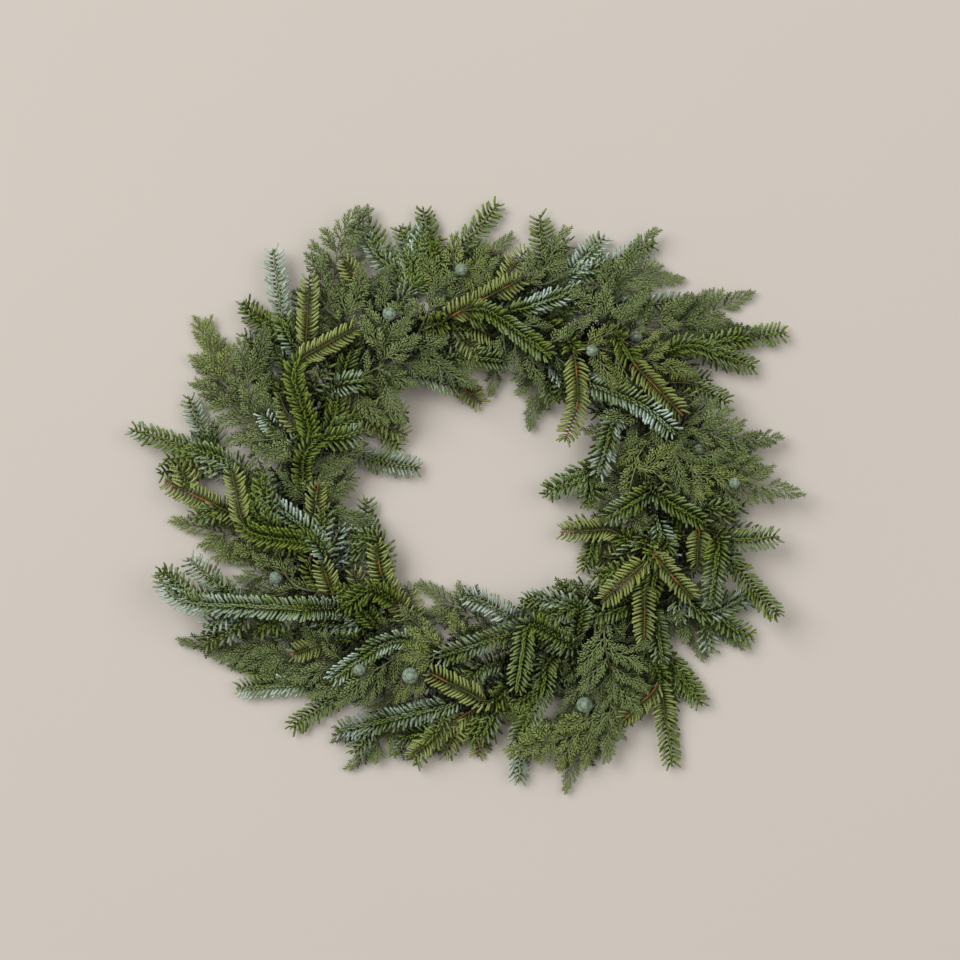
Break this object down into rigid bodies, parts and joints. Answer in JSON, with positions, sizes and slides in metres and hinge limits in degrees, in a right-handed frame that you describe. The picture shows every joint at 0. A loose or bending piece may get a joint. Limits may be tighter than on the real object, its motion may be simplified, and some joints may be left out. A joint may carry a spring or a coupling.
{
  "type": "evergreen wreath",
  "caption": "Natural evergreen wreath that lies flat: fir boughs with silvery needle ends and feathery cypress sprays with small round cones, bound to a hidden wire ring",
  "frame": {"origin": "On the surface that the wreath lies on, under the middle of its bounding box", "axes": "+X to the right and +Y to the top of the wreath as seen from in front, +Z from its back to its front, up when it lies flat"},
  "size_m": [0.664, 0.5871, 0.066],
  "materials": {
    "ring_wire": "satin green enamel on steel wire",
    "binding_wire": "satin green enamel on thin wire",
    "fir": "fir needles, satin green above, olive below, silvery towards their ends, on red-brown stems",
    "cypress": "matte grey-green scale leaves",
    "cone": "matte blue-green bloom"
  },
  "bodies": {
    "root": {"wire_ring": "ring_wire", "binding_wire": "binding_wire", "fir_01": "fir", "fir_02": "fir", "fir_03": "fir", "fir_04": "fir", "fir_05": "fir", "fir_06": "fir", "fir_07": "fir", "fir_08": "fir", "fir_09": "fir", "fir_10": "fir", "fir_11": "fir", "fir_12": "fir", "fir_13": "fir", "fir_14": "fir", "fir_15": "fir", "fir_16": "fir", "fir_17": "fir", "fir_18": "fir", "fir_19": "fir", "fir_20": "fir", "fir_21": "fir", "fir_22": "fir", "fir_23": "fir", "fir_24": "fir", "fir_25": "fir", "fir_26": "fir", "fir_27": "fir", "fir_28": "fir", "fir_29": "fir", "fir_30": "fir", "fir_31": "fir", "cypress_01": "cypress", "cypress_02": "cypress", "cypress_03": "cypress", "cypress_04": "cypress", "cypress_05": "cypress", "cypress_06": "cypress", "cypress_07": "cypress", "cypress_08": "cypress", "cypress_09": "cypress", "cypress_10": "cypress", "cypress_11": "cypress", "cypress_12": "cypress", "cypress_13": "cypress", "cypress_14": "cypress", "cypress_15": "cypress", "cypress_16": "cypress", "cypress_17": "cypress", "cone_01": "cone", "cone_02": "cone", "cone_03": "cone", "cone_04": "cone", "cone_05": "cone", "cone_06": "cone", "cone_07": "cone", "cone_08": "cone", "cone_09": "cone", "cone_10": "cone"}
  },
  "joints": []
}
